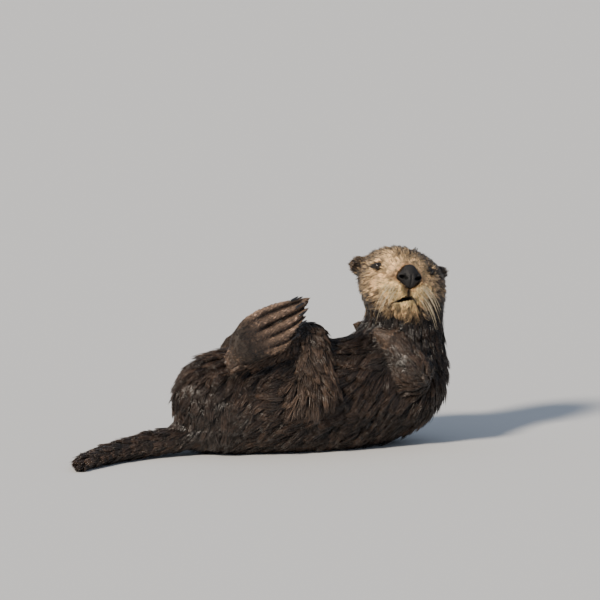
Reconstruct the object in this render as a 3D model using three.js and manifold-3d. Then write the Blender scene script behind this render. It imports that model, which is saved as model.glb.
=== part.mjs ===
// Sea otter, an adult female at life size, as a still museum model.
// She lies on her back as when floating: the trunk is level, the hind feet are folded up over the
// belly, the forepaws rest on the chest, and the neck rises so that the head looks to her left.
//
// Millimetres. +Z is up, which is the belly side. +X runs from the tail to the shoulders, -Y is her
// left side. The origin is on the floor, in the middle of the flat that the back rests on.
// Every solid reaches out to the tips of the coat.

import * as THREE from "three";
import { mergeVertices } from "three/addons/utils/BufferGeometryUtils.js";
import Module from "manifold-3d";

const wasm = await Module();
wasm.setup();

// ---------------------------------------------------------------- driving dimensions

const GAP = 0.3; // clearance between solids that meet
const LEFT = -1;
const RIGHT = 1;

// trunk: centres along the back, with the radius at each
const RUMP = { at: [-173, 0, 96], r: 95 };
const LOIN = { at: [-60, 0, 98], r: 100 };
const BREAST = { at: [70, 0, 101], r: 101 };
const SHOULDERS = { at: [168, 0, 112], r: 96 };
const TRUNK_WIDTH = 1.12; // across, as a share of the depth
const HAUNCH = { at: [-80, 66, 108], radii: [84, 50, 66] };
const BACK_PAD = { at: [-8, 0, 40], radii: [205, 92, 47] }; // the back spreads under its weight
const FLOOR = 0;

// neck and head
const NECK_FOOT = { at: [184, 0, 145], r: 84 };
const NECK_TOP = { at: [196, 4, 272], r: 70 };
const HEAD = [171, -15, 298]; // centre of the skull
const NAPE = { at: [201, 8, 290], radii: [66, 62, 60] }; // loose coat over the back of the skull
const HEAD_HEADING = -91; // degrees from +X, turned to her left
const HEAD_PITCH = 17; // degrees that the nose is lifted
const HEAD_ROLL = 8; // degrees that the crown leans towards +X
const EYE = { forward: 38, side: 49, up: 22, r: 8 };
const EAR = { forward: -14, up: 30, stand: { left: -15, right: -5 }, radii: [11, 24, 18], droop: 12 };
const NOSE = { forward: 74, up: 2, halfWidth: 24, halfHeight: 23, depth: 13 };

// tail: flattened, with its half-width at each point of its length
const TAIL = [
  { at: [-212, 0, 46], r: 58 },
  { at: [-268, -3, 30], r: 42 },
  { at: [-335, -16, 21], r: 35 },
  { at: [-400, -44, 17], r: 31 },
  { at: [-452, -84, 13.5], r: 25 },
  { at: [-474, -110, 10], r: 18 },
  { at: [-485, -127, 6], r: 9 },
];
const TAIL_FLATNESS = 0.6; // thickness over width

// fore limb, for the right side
const SHOULDER = { at: [168, 66, 128], r: 46 };
const ELBOW = { at: [176, 100, 142], r: 35 };
const WRIST = { at: [152, 70, 197], r: 23 };
const PAW = { length: 50, halfWidth: 23, halfDepth: 13, toes: [-34, -34, 24] };

// hind limbs; the thighs are alike, and the left knee is drawn further up
const THIGH = { at: [-22, 76, 120], r: 49 };
const KNEES = { left: { at: [-9, -32, 203], r: 42 }, right: { at: [-12, 68, 160], r: 43 } };
const FOOT = {
  length: 200,
  halfWidths: [23, 37, 43, 46, 45, 38, 23], // from the heel to the toes
  middles: [6, 9, 10, 7, 3, 1, 3], // where the middle of the foot runs, out from the heel's line
  heelHalfDepth: 20,
  webHalfDepth: 4.2,
  toeRidge: 4.5,
};
// Each toe, the innermost first: its reach along the foot, and where it runs across it
const TOES = [
  { reach: 0.76, across: -0.86 },
  { reach: 0.91, across: -0.46 },
  { reach: 0.97, across: -0.04 },
  { reach: 0.995, across: 0.4 },
  { reach: 1.0, across: 0.84 },
];
const HIND_CLAW = { length: 20, r: 4.3, from: 0.87 };
// The feet lean together over the belly, with the soles turned in and the outer toe uppermost.
const FEET = {
  left: { heel: [-186, -112, 188], toes: [0.87, 0.28, 0.4], turnOut: 65 },
  right: { heel: [-134, 86, 158], toes: [0.78, -0.25, 0.56], turnOut: 30 },
};
const ANKLE = { forward: 16, behind: -14, r: 25, kneeRadius: 33 }; // set along and behind the foot

// ---------------------------------------------------------------- colours

const coat = (color) => new THREE.MeshStandardMaterial({ color, roughness: 0.55, metalness: 0 });
const DARK_COAT = coat(0x3a2a20);
const LIMB_COAT = coat(0x4a372a);
const FACE_COAT = coat(0xb39b78);
const NOSE_SKIN = new THREE.MeshStandardMaterial({ color: 0x17171a, roughness: 0.45, metalness: 0 });
const EYE_GLASS = new THREE.MeshStandardMaterial({ color: 0x140d09, roughness: 0.08, metalness: 0 });
const CLAW_HORN = new THREE.MeshStandardMaterial({ color: 0x241c18, roughness: 0.35, metalness: 0 });

// ---------------------------------------------------------------- fields of flesh
// A field gives the distance from a point to a surface, negative inside it.

function stretch(from, to, { wide = 1, flat = 1 } = {}) {
  const [ax, ay, az] = from.at;
  const dx = to.at[0] - ax;
  const dy = (to.at[1] - ay) / wide;
  const dz = (to.at[2] - az) / flat;
  const square = dx * dx + dy * dy + dz * dz;
  return (x, y, z) => {
    const px = x - ax;
    const py = (y - ay) / wide;
    const pz = (z - az) / flat;
    const t = THREE.MathUtils.clamp((px * dx + py * dy + pz * dz) / square, 0, 1);
    const away = Math.hypot(px - t * dx, py - t * dy, pz - t * dz);
    return (away - from.r - t * (to.r - from.r)) * Math.min(1, flat);
  };
}

function lump(at, radii) {
  const [a, b, c] = radii;
  return (x, y, z) => {
    const px = x - at[0];
    const py = y - at[1];
    const pz = z - at[2];
    const unit = Math.hypot(px / a, py / b, pz / c);
    const slope = Math.hypot(px / (a * a), py / (b * b), pz / (c * c));
    return slope < 1e-9 ? -Math.min(a, b, c) : (unit * (unit - 1)) / slope;
  };
}

function chain(links, shape) {
  return merge(
    1,
    ...links.slice(1).map((link, i) => stretch(links[i], link, shape)),
  );
}

// Joins fields, with a fillet about `soft` mm wide where they meet.
function merge(soft, ...fields) {
  return (x, y, z) => {
    let least = fields[0](x, y, z);
    for (let i = 1; i < fields.length; i++) {
      const other = fields[i](x, y, z);
      const near = Math.max(soft - Math.abs(least - other), 0) / soft;
      least = Math.min(least, other) - (near * near * soft) / 4;
    }
    return least;
  };
}

function dent(soft, field, cutter) {
  const both = merge(soft, (x, y, z) => -field(x, y, z), cutter);
  return (x, y, z) => -both(x, y, z);
}

const grown = (field, by) => (x, y, z) => field(x, y, z) - by;

function inFrame(matrix, field) {
  const inverse = matrix.clone().invert();
  const point = new THREE.Vector3();
  return (x, y, z) => {
    point.set(x, y, z).applyMatrix4(inverse);
    return field(point.x, point.y, point.z);
  };
}

// ---------------------------------------------------------------- surfaces round a field

const vec = (at) => new THREE.Vector3(...at);

// How far out along a direction the field's surface lies, looking in from `reach`.
function surfaceAt(field, from, direction, reach) {
  let r = reach;
  for (let step = 0; step < 400 && r > 0.5; step++) {
    const away = field(
      from.x + direction.x * r,
      from.y + direction.y * r,
      from.z + direction.z * r,
    );
    if (away < 0.02) break;
    r -= Math.max(away * 0.75, 0.03);
  }
  return from.clone().addScaledVector(direction, Math.max(r, 0.5));
}

// Closed skin over rings of points, with a single point at each end.
function skinOver(first, rings, last) {
  const sides = rings[0].length;
  const points = [first, ...rings.flat(), last];
  const faces = [];
  const at = (ring, side) => 1 + ring * sides + (side % sides);
  for (let side = 0; side < sides; side++) {
    faces.push(0, at(0, side + 1), at(0, side));
    for (let ring = 0; ring + 1 < rings.length; ring++) {
      const [a, b] = [at(ring, side), at(ring, side + 1)];
      const [c, d] = [at(ring + 1, side), at(ring + 1, side + 1)];
      faces.push(a, b, c, b, d, c);
    }
    const end = rings.length - 1;
    faces.push(points.length - 1, at(end, side), at(end, side + 1));
  }
  return new THREE.BufferGeometry().setFromPoints(points).setIndex(faces);
}

// Wraps a field with rings along a path, and fans of rings round each end of it.
function wrapTube(field, path, { rings, sides, fan, reach, up = [0, 0, 1] }) {
  const curve = new THREE.CatmullRomCurve3(path.map(vec));
  const ring = (t, tilt) => {
    const centre = curve.getPointAt(t);
    const along = curve.getTangentAt(t);
    const across = new THREE.Vector3().crossVectors(along, vec(up)).normalize();
    const over = new THREE.Vector3().crossVectors(across, along);
    return Array.from({ length: sides }, (_, i) => {
      const turn = (2 * Math.PI * i) / sides;
      const direction = new THREE.Vector3()
        .addScaledVector(across, Math.cos(turn) * Math.cos(tilt))
        .addScaledVector(over, Math.sin(turn) * Math.cos(tilt))
        .addScaledVector(along, Math.sin(tilt));
      return surfaceAt(field, centre, direction, reach);
    });
  };
  const tilts = Array.from({ length: fan - 1 }, (_, i) => ((i + 1) * Math.PI) / 2 / fan);
  const all = [
    ...tilts.toReversed().map((tilt) => ring(0, -tilt)),
    ...Array.from({ length: rings + 1 }, (_, i) => ring(i / rings, 0)),
    ...tilts.map((tilt) => ring(1, tilt)),
  ];
  const end = (t, sign) =>
    surfaceAt(field, curve.getPointAt(t), curve.getTangentAt(t).multiplyScalar(sign), reach);
  return skinOver(end(0, -1), all, end(1, 1));
}

// Wraps a field round one centre.
function wrapBall(field, centre, detail, reach) {
  const ball = merged(new THREE.IcosahedronGeometry(1, detail));
  const places = ball.getAttribute("position");
  const direction = new THREE.Vector3();
  for (let i = 0; i < places.count; i++) {
    direction.fromBufferAttribute(places, i).normalize();
    const found = surfaceAt(field, centre, direction, reach);
    places.setXYZ(i, found.x, found.y, found.z);
  }
  return ball;
}

// ---------------------------------------------------------------- cutting and joining

// The geometry with its like points made one, and without the faces that this leaves empty.
function merged(geometry) {
  const bare = geometry.clone();
  bare.deleteAttribute("normal");
  bare.deleteAttribute("uv");
  const closed = mergeVertices(bare, 1e-3);
  const corners = Array.from(closed.index.array);
  const kept = [];
  for (let i = 0; i < corners.length; i += 3) {
    const face = corners.slice(i, i + 3);
    if (new Set(face).size === 3) kept.push(...face);
  }
  return closed.setIndex(kept);
}

// Signed volume of a closed skin, which is negative where its faces point inwards.
function volumeOf(closed) {
  const places = closed.getAttribute("position");
  const [a, b, c] = [0, 1, 2].map(() => new THREE.Vector3());
  let sum = 0;
  for (let i = 0; i < closed.index.count; i += 3) {
    [a, b, c].forEach((corner, k) => corner.fromBufferAttribute(places, closed.index.getX(i + k)));
    sum += a.dot(b.cross(c)) / 6;
  }
  return sum;
}

function solid(geometry) {
  const closed = merged(geometry);
  const corners = new Uint32Array(closed.index.array);
  if (volumeOf(closed) < 0) corners.reverse();
  return new wasm.Manifold(
    new wasm.Mesh({
      numProp: 3,
      vertProperties: new Float32Array(closed.getAttribute("position").array),
      triVerts: corners,
    }),
  );
}

// The half of space on the side of a plane that its normal points to, as a large block.
function beyond(point, normal, clear = GAP / 2) {
  const size = 3000;
  const out = vec(normal).normalize();
  const block = new THREE.BoxGeometry(size, size, size);
  block.applyQuaternion(
    new THREE.Quaternion().setFromUnitVectors(new THREE.Vector3(0, 0, 1), out),
  );
  const centre = vec(point).addScaledVector(out, size / 2 + clear);
  return solid(block.translate(centre.x, centre.y, centre.z));
}

// The largest connected piece, as cuts can leave slivers.
function largest(made) {
  return made.decompose().sort((a, b) => b.volume() - a.volume())[0];
}

function meshOf(name, made, material) {
  const data = largest(made).getMesh();
  const geometry = new THREE.BufferGeometry();
  geometry.setAttribute("position", new THREE.BufferAttribute(data.vertProperties, 3));
  geometry.setIndex(new THREE.BufferAttribute(data.triVerts, 1));
  geometry.computeVertexNormals();
  const mesh = new THREE.Mesh(geometry, material);
  mesh.name = name;
  return mesh;
}

const sideName = (side) => (side === LEFT ? "left" : "right");
const mirrored = (at, side) => [at[0], at[1] * side, at[2]];
const onSide = (ball, side) => ({ at: mirrored(ball.at, side), r: ball.r });

// ---------------------------------------------------------------- head shape
// In the head's own frame: x forward to the nose, y to her left cheek, z to the crown.

function headMatrix() {
  const deg = THREE.MathUtils.degToRad;
  const forward = new THREE.Vector3(1, 0, 0)
    .applyAxisAngle(new THREE.Vector3(0, 1, 0), -deg(HEAD_PITCH))
    .applyAxisAngle(new THREE.Vector3(0, 0, 1), deg(HEAD_HEADING));
  const left = new THREE.Vector3(0, 0, 1).cross(forward).normalize();
  left.applyAxisAngle(forward, -deg(HEAD_ROLL));
  const crown = new THREE.Vector3().crossVectors(forward, left);
  return new THREE.Matrix4().makeBasis(forward, left, crown).setPosition(...HEAD);
}

const HEAD_FRAME = headMatrix();
const inHead = (x, y, z) => new THREE.Vector3(x, y, z).applyMatrix4(HEAD_FRAME);

function pair(x, y, z, radii) {
  return [lump([x, y, z], radii), lump([x, -y, z], radii)];
}

function headField() {
  const skull = merge(
    16,
    lump([-10, 0, 14], [64, 69, 57]),
    ...pair(14, 34, -12, [46, 34, 40]), // cheeks
    lump([0, 0, -34], [52, 50, 36]), // throat
    ...pair(32, 28, 30, [22, 20, 14]), // brows
  );
  const muzzle = merge(
    8,
    lump([40, 0, 2], [40, 34, 32]),
    ...pair(57, 17, -17, [23, 21, 19]), // whisker pads
    lump([44, 0, -42], [28, 29, 20]), // chin
  );
  const sockets = pair(EYE.forward + 9, EYE.side + 8, EYE.up, [11, 11, 9]);
  return inFrame(HEAD_FRAME, dent(7, merge(14, skull, muzzle), merge(1, ...sockets)));
}

// ---------------------------------------------------------------- body shape

function bodyField() {
  const wide = { wide: TRUNK_WIDTH };
  const trunk = merge(
    30,
    chain([RUMP, LOIN, BREAST, SHOULDERS], wide),
    lump(BACK_PAD.at, BACK_PAD.radii),
    ...[LEFT, RIGHT].map((side) => lump(mirrored(HAUNCH.at, side), HAUNCH.radii)),
  );
  const neck = stretch(NECK_FOOT, NECK_TOP);
  const nape = lump(NAPE.at, NAPE.radii);
  return merge(22, merge(34, trunk, neck), merge(18, headField(), nape));
}

const BODY = bodyField();
const NECK_CUT = { at: [190, 0, 172], normal: [0.36, 0, 0.93] };
const HEAD_CUT = {
  at: inHead(0, 0, -50).toArray(),
  normal: new THREE.Vector3(0.3, 0, 1).transformDirection(HEAD_FRAME).toArray(),
};

const aboveFloor = (made) => made.intersect(beyond([0, 0, FLOOR], [0, 0, 1], 0));

function wrapTrunk(growth = 0) {
  const path = [RUMP.at, LOIN.at, BREAST.at, SHOULDERS.at];
  const shape = { rings: 13, sides: 26, fan: 6, reach: 136 };
  return solid(wrapTube(grown(BODY, growth), path, shape));
}

function trunkSolid() {
  return aboveFloor(wrapTrunk().subtract(beyond(NECK_CUT.at, NECK_CUT.normal, -GAP / 2)));
}

function neckSolid(growth = 0) {
  const path = [NECK_FOOT.at, NECK_TOP.at];
  const shape = { rings: 10, sides: 24, fan: 2, reach: 112, up: [1, 0, 0] };
  const tube = solid(wrapTube(grown(BODY, growth), path, shape));
  return tube
    .intersect(beyond(NECK_CUT.at, NECK_CUT.normal))
    .subtract(beyond(HEAD_CUT.at, HEAD_CUT.normal, -GAP / 2));
}

function tailSolid() {
  const path = TAIL.slice(0, -1).map((link) => link.at);
  const shape = { rings: 10, sides: 16, fan: 3, reach: 70 };
  return aboveFloor(solid(wrapTube(chain(TAIL, { flat: TAIL_FLATNESS }), path, shape)));
}

function headSolid() {
  const ball = solid(wrapBall(BODY, vec(HEAD), 7, 110));
  let skull = ball.intersect(beyond(HEAD_CUT.at, HEAD_CUT.normal));
  for (const side of [LEFT, RIGHT]) skull = skull.subtract(eyeSolid(side, GAP));
  return skull.subtract(noseSolid(GAP));
}

// ---------------------------------------------------------------- eyes, ears and nose

function eyeSolid(side, growth = 0) {
  const ball = new THREE.SphereGeometry(EYE.r + growth, 12, 8);
  const at = inHead(EYE.forward, -side * EYE.side, EYE.up);
  return solid(ball.translate(at.x, at.y, at.z));
}

function noseSolid(growth = 0) {
  const { forward, up, halfWidth, halfHeight, depth } = NOSE;
  const pad = merge(
    7,
    lump([forward, 0, up - 1], [depth, halfWidth, halfHeight * 0.48]),
    lump([forward - 1, 0, up + 9], [depth - 1, halfWidth * 0.54, halfHeight * 0.58]),
    lump([forward, 0, up - 9], [depth - 1, halfWidth * 0.58, halfHeight * 0.54]),
  );
  const nostrils = [1, -1].map((s) => lump([forward + 12, s * 11.5, up - 1], [8, 5, 3.4]));
  const field = inFrame(HEAD_FRAME, dent(3, pad, merge(1, ...nostrils)));
  return solid(wrapBall(grown(field, growth), inHead(forward - 3, 0, up), 3, 40));
}

// An ear is a small thick flap, hollow in front, that stands out from the side of the head.
function earSolid(side) {
  const { forward, up, stand, radii, droop } = EAR;
  const outward = new THREE.Vector3(0, -side, 0).transformDirection(HEAD_FRAME);
  const root = surfaceAt(BODY, inHead(forward, 0, up), outward, 120);
  root.addScaledVector(outward, stand[sideName(side)]);
  const turn = new THREE.Matrix4().makeRotationX(side * THREE.MathUtils.degToRad(droop));
  const frame = HEAD_FRAME.clone().multiply(turn).setPosition(root);
  const flap = lump([0, 0, 0], radii);
  const cup = lump([radii[0] + 1, -side * 4, 1], [radii[0], radii[1] * 0.62, radii[2] * 0.6]);
  const field = inFrame(frame, dent(3, flap, cup));
  return solid(wrapBall(field, vec([-3, 0, 0]).applyMatrix4(frame), 2, 40));
}

// ---------------------------------------------------------------- fore limbs

// A frame with x along one direction and z as near as can be to another.
function frameAlong(at, along, over) {
  const x = vec(along).normalize();
  const z = vec(over);
  z.addScaledVector(x, -z.dot(x)).normalize();
  return new THREE.Matrix4().makeBasis(x, z.clone().cross(x), z).setPosition(...at);
}

// The paw's frame: x from the wrist to the toes, z out of the back of the paw.
const pawFrame = (side) =>
  frameAlong(mirrored(WRIST.at, side), mirrored(PAW.toes, side), [0.2, 0.35 * side, 1]);

// Five short rounded toes, in the paw's frame.
function pawToes() {
  return [-2, -1, 0, 1, 2].map((i) => ({
    root: { at: [PAW.length * 0.45, i * 5.5, 0], r: 9.5 },
    tip: { at: [PAW.length - 5 - 1.6 * i * i, i * PAW.halfWidth * 0.37, 1], r: 7 },
  }));
}

function forelegField(side) {
  const palm = lump([PAW.length * 0.42, 0, 0], [PAW.length * 0.5, PAW.halfWidth, PAW.halfDepth]);
  const toes = pawToes().map(({ root, tip }) => stretch(root, tip));
  const paw = inFrame(pawFrame(side), merge(5, palm, ...toes));
  const [shoulder, elbow, wrist] = [SHOULDER, ELBOW, WRIST].map((b) => onSide(b, side));
  return merge(12, stretch(shoulder, elbow), stretch(elbow, wrist), paw);
}

function forelegSolid(side, growth = 0) {
  const palm = vec([PAW.length * 0.62, 0, 0]).applyMatrix4(pawFrame(side)).toArray();
  const path = [mirrored(ELBOW.at, side), mirrored(WRIST.at, side), palm];
  const shape = { rings: 8, sides: 14, fan: 3, reach: 75 };
  return solid(wrapTube(grown(forelegField(side), growth), path, shape));
}

// The half of space past the wrist, or short of it.
function pastWrist(side, sign, clear) {
  const frame = pawFrame(side);
  const normal = new THREE.Vector3(sign, 0, 0).transformDirection(frame);
  return beyond(vec([4, 0, 0]).applyMatrix4(frame).toArray(), normal.toArray(), clear);
}

// A claw is a short curved spike: x from root to point, z over its back.
function clawGeometry({ length, r }) {
  const spine = new THREE.QuadraticBezierCurve3(
    vec([-length * 0.4, 0, -r * 0.4]),
    vec([length * 0.5, 0, r * 0.6]),
    vec([length, 0, -r * 0.6]),
  );
  const sides = 6;
  const ring = (t) =>
    Array.from({ length: sides }, (_, i) => {
      const turn = (2 * Math.PI * i) / sides;
      const wide = r * (1 - 0.75 * t);
      const at = spine.getPoint(t);
      return at.add(vec([0, Math.cos(turn) * wide * 0.8, Math.sin(turn) * wide]));
    });
  return skinOver(spine.getPoint(0), [ring(0), ring(0.55)], spine.getPoint(1));
}

// ---------------------------------------------------------------- hind limbs

function ankleOf(side) {
  const at = new THREE.Vector3(ANKLE.forward, 0, ANKLE.behind).applyMatrix4(footFrame(side));
  return { at: at.toArray(), r: ANKLE.r };
}

// The thigh runs from the haunch round to the knee.
function thighField(side) {
  const haunch = onSide({ at: HAUNCH.at, r: HAUNCH.radii[1] }, side);
  const thigh = onSide(THIGH, side);
  return merge(20, stretch(haunch, thigh), stretch(thigh, KNEES[sideName(side)]));
}

function thighSolid(side, growth = 0) {
  const middle = vec(mirrored(THIGH.at, side)).lerp(vec(KNEES[sideName(side)].at), 0.45);
  return solid(wrapBall(grown(thighField(side), growth), middle, 4, 112));
}

function shankSolid(side, growth = 0) {
  const knee = { at: KNEES[sideName(side)].at, r: ANKLE.kneeRadius };
  const ankle = ankleOf(side);
  const path = [ankle.at, vec(ankle.at).lerp(vec(knee.at), 0.5).toArray(), knee.at];
  const shape = { rings: 4, sides: 14, fan: 3, reach: 60 };
  return solid(wrapTube(grown(stretch(ankle, knee), growth), path, shape));
}

// The frame of a hind foot: x from heel to toes, y to its outer edge, z out of its back.
function footFrame(side) {
  const { heel, toes, turnOut } = FEET[sideName(side)];
  const along = vec(toes).normalize();
  const lift = new THREE.Vector3(0, 0, 1);
  lift.addScaledVector(along, -lift.dot(along)).normalize();
  const out = new THREE.Vector3().crossVectors(lift, along).multiplyScalar(-side);
  const turn = THREE.MathUtils.degToRad(turnOut);
  const back = lift.multiplyScalar(Math.cos(turn)).addScaledVector(out, -Math.sin(turn));
  const outer = new THREE.Vector3().crossVectors(back, along).multiplyScalar(-side);
  return new THREE.Matrix4().makeBasis(along, outer, back).setPosition(...heel);
}

// Reads a list of values at even steps, smoothly, at a share t of its length.
function along(values, t) {
  const place = THREE.MathUtils.clamp(t, 0, 1) * (values.length - 1);
  const i = Math.min(values.length - 2, Math.floor(place));
  return THREE.MathUtils.lerp(values[i], values[i + 1], place - i);
}

// A point on the foot: t from heel to toes, s from the inner edge at -1 to the outer at 1, and
// the face is 1 on the back of the foot or -1 on its sole.
function footPoint(t, s, face, growth = 0) {
  const { smoothstep, lerp } = THREE.MathUtils;
  const toeing = smoothstep(t, 0.3, 0.85);
  const near = (toe) => Math.exp(-(((s - toe.across) / 0.15) ** 2));
  const ridge = TOES.reduce((sum, toe) => sum + near(toe), 0);
  const order = TOES.toSorted((a, b) => Math.abs(a.across - s) - Math.abs(b.across - s));
  const reach = order[0].reach - 0.07 * (1 - near(order[0]));
  const length = FOOT.length * lerp(1, reach, smoothstep(t, 0.15, 0.9));
  const round = Math.sqrt(Math.min(1, t / 0.13) * (2 - Math.min(1, t / 0.13)));
  const tip = Math.sqrt(1 - Math.max(0, (t - 0.88) / 0.12) ** 2);
  const edge = Math.sqrt(1 - s ** 4);
  const thick = lerp(FOOT.heelHalfDepth, FOOT.webHalfDepth, smoothstep(t, 0.05, 0.62));
  const depth = (thick + FOOT.toeRidge * toeing * ridge + growth) * edge * tip * round;
  const arch = 6 * Math.sin(Math.PI * t) - 7 * toeing * s * s;
  const y = along(FOOT.middles, t) + s * (along(FOOT.halfWidths, t) * round + growth);
  return [t * length + growth * (2 * t - 1), y, arch + face * depth];
}

// Two faces over one outline, which meet along its edge.
function footSolid(side, growth = 0) {
  const rows = [0, 0.02, 0.06, 0.13, 0.24, 0.36, 0.48, 0.6, 0.71, 0.81, 0.89, 0.96, 1];
  const between = TOES.slice(1).map((toe, i) => (toe.across + TOES[i].across) / 2);
  const ridges = TOES.flatMap(({ across }) => [across - 0.07, across + 0.07]);
  const columns = [-1, ...between, ...ridges, 1].sort((a, b) => a - b);
  const points = [];
  const faces = [];
  for (const face of [1, -1]) {
    const first = points.length;
    for (const t of rows) for (const s of columns) points.push(vec(footPoint(t, s, face, growth)));
    for (let i = 0; i + 1 < rows.length; i++) {
      for (let j = 0; j + 1 < columns.length; j++) {
        const a = first + i * columns.length + j;
        const [b, c, d] = [a + 1, a + columns.length, a + columns.length + 1];
        if (face === 1) faces.push(a, c, b, b, c, d);
        else faces.push(a, b, c, b, d, c);
      }
    }
  }
  const shell = new THREE.BufferGeometry().setFromPoints(points).setIndex(faces);
  return solid(shell.applyMatrix4(footFrame(side)));
}

function hindClaw(side, toe) {
  const { across } = TOES[toe];
  const [x, y, z] = footPoint(HIND_CLAW.from, across, 1);
  const place = new THREE.Matrix4().makeTranslation(x, y, z - 0.6);
  return clawGeometry(HIND_CLAW).applyMatrix4(footFrame(side).multiply(place));
}

// ---------------------------------------------------------------- assembly

const otter = new THREE.Group();
const add = (name, made, material) => otter.add(meshOf(name, made, material));

const trunkGrown = wrapTrunk(GAP);
const neckGrown = neckSolid(GAP);
const headGrown = solid(wrapBall(grown(BODY, GAP), vec(HEAD), 7, 110));

add("trunk", trunkSolid(), DARK_COAT);
add("neck", neckSolid(), DARK_COAT);
add("tail", tailSolid().subtract(trunkGrown), DARK_COAT);
add("head", headSolid(), FACE_COAT);
add("nose", noseSolid(), NOSE_SKIN);

for (const side of [LEFT, RIGHT]) {
  const tag = sideName(side);
  add(`eye_${tag}`, eyeSolid(side), EYE_GLASS);
  add(`ear_${tag}`, earSolid(side).subtract(headGrown), FACE_COAT);

  const foreleg = forelegSolid(side).subtract(trunkGrown).subtract(neckGrown);
  add(`foreleg_${tag}`, foreleg.intersect(pastWrist(side, -1)), LIMB_COAT);
  add(`forepaw_${tag}`, foreleg.intersect(pastWrist(side, 1)), LIMB_COAT);

  const thighGrown = thighSolid(side, GAP);
  const shankGrown = shankSolid(side, GAP);
  const foot = footSolid(side).subtract(shankGrown).subtract(thighGrown).subtract(trunkGrown);
  add(`thigh_${tag}`, thighSolid(side).subtract(trunkGrown), DARK_COAT);
  add(`shank_${tag}`, shankSolid(side).subtract(thighGrown).subtract(trunkGrown), LIMB_COAT);
  add(`hindfoot_${tag}`, foot, LIMB_COAT);
  TOES.forEach((_, toe) => {
    const claw = solid(hindClaw(side, toe)).subtract(footSolid(side, GAP)).subtract(shankGrown);
    add(`hindclaw_${tag}_${toe + 1}`, claw.subtract(foot), CLAW_HORN);
  });
}

export default otter;
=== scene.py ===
"""A sea otter floating on its back, as a life-size still model: its skin, coat, face, feet and claws."""

import math

import bmesh
import bpy
import numpy as np
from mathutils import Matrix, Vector, kdtree
from mathutils.bvhtree import BVHTree


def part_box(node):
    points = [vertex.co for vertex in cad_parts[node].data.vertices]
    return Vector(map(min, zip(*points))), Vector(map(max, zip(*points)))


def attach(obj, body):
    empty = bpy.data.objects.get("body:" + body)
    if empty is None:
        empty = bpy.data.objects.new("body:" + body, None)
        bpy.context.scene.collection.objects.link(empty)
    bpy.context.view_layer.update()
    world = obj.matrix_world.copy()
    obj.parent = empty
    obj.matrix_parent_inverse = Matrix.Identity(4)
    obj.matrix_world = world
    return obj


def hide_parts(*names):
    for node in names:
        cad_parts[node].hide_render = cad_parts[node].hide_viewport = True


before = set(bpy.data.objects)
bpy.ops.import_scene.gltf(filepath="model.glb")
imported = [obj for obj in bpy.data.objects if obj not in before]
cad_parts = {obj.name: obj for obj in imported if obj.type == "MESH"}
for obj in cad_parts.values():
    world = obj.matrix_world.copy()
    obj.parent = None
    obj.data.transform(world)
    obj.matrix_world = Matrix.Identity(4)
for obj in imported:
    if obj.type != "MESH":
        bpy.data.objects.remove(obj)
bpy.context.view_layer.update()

# ---- The head's own axes ----
# The head is turned to its left and tipped, so its features are placed along its own axes: forward
# to the nose, left, and up to the crown. They are found from the eyes and the nose in the frame.

EYE_FORWARD, EYE_UP = 0.038, 0.022
NOSE_BELOW_EYES = math.radians(29)


def middle(node):
    """The middle of a CAD node's box."""
    low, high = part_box(node)
    return np.array((low + high) / 2)


def unit(vectors):
    """Vectors made one long."""
    return vectors / np.maximum(np.linalg.norm(vectors, axis=-1, keepdims=True), 1e-9)


eye_centres = {side: middle(f"eye_{side}") for side in ("left", "right")}
left = unit(eye_centres["left"] - eye_centres["right"])
between = (eye_centres["left"] + eye_centres["right"]) / 2
to_nose = middle("nose") - between
to_nose = unit(to_nose - left * (to_nose @ left))
forward = to_nose * math.cos(NOSE_BELOW_EYES) + np.cross(to_nose, left) * math.sin(NOSE_BELOW_EYES)
crown = np.cross(forward, left)
HEAD_AXES = np.array([forward, left, crown])
HEAD_CENTRE = between - forward * EYE_FORWARD - crown * EYE_UP


def in_head(points):
    """Points of the row as forward, left and up from the middle of the head."""
    return (points - HEAD_CENTRE) @ HEAD_AXES.T


def from_head(points):
    """Points along the head's axes as points of the row."""
    return points @ HEAD_AXES + HEAD_CENTRE


# ---- The skin ----
# One loose hide covers the head, neck, trunk, legs and tail. It lies under the coat, so it is the
# outline of the animal taken in by the depth of the fur, thick on the body and thin on the feet.

FLESH = [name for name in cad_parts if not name.startswith(("eye", "nose", "hindclaw"))]
SKIN_GRAIN = 0.0034
JOIN_SWELL = 0.0006
COAT_DEPTH = {
    "head": 0.0046, "ear": 0.0020, "neck": 0.0075, "trunk": 0.0080, "tail": 0.0045, "foreleg": 0.005,
    "forepaw": 0.002, "thigh": 0.0065, "shank": 0.0045, "hindfoot": 0.0012,
}
RUMP_DEPTH = 0.007
FOLD_SMOOTHING = {
    "head": 0.30, "ear": 0.10, "neck": 0.6, "trunk": 0.6, "tail": 0.45, "foreleg": 0.4,
    "forepaw": 0.12, "thigh": 0.5, "shank": 0.35, "hindfoot": 0.10,
}
FACE_FROM = 0.012
FEATURES_FROM = 0.030


def region_of(node):
    """A node's name without its side."""
    return node.replace("_left", "").replace("_right", "")


def grown_copy(node):
    """A bmesh of a CAD solid, a little larger, so that neighbours run into each other."""
    solid = bmesh.new()
    solid.from_mesh(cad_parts[node].data)
    bmesh.ops.remove_doubles(solid, verts=solid.verts, dist=1e-5)
    solid.normal_update()
    for vertex in solid.verts:
        vertex.co += vertex.normal * JOIN_SWELL
    return solid


def placed(name, mesh):
    """A mesh as a smooth-shaded object in the scene."""
    piece = bpy.data.objects.new(name, mesh)
    bpy.context.scene.collection.objects.link(piece)
    mesh.shade_smooth()
    return piece


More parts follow.
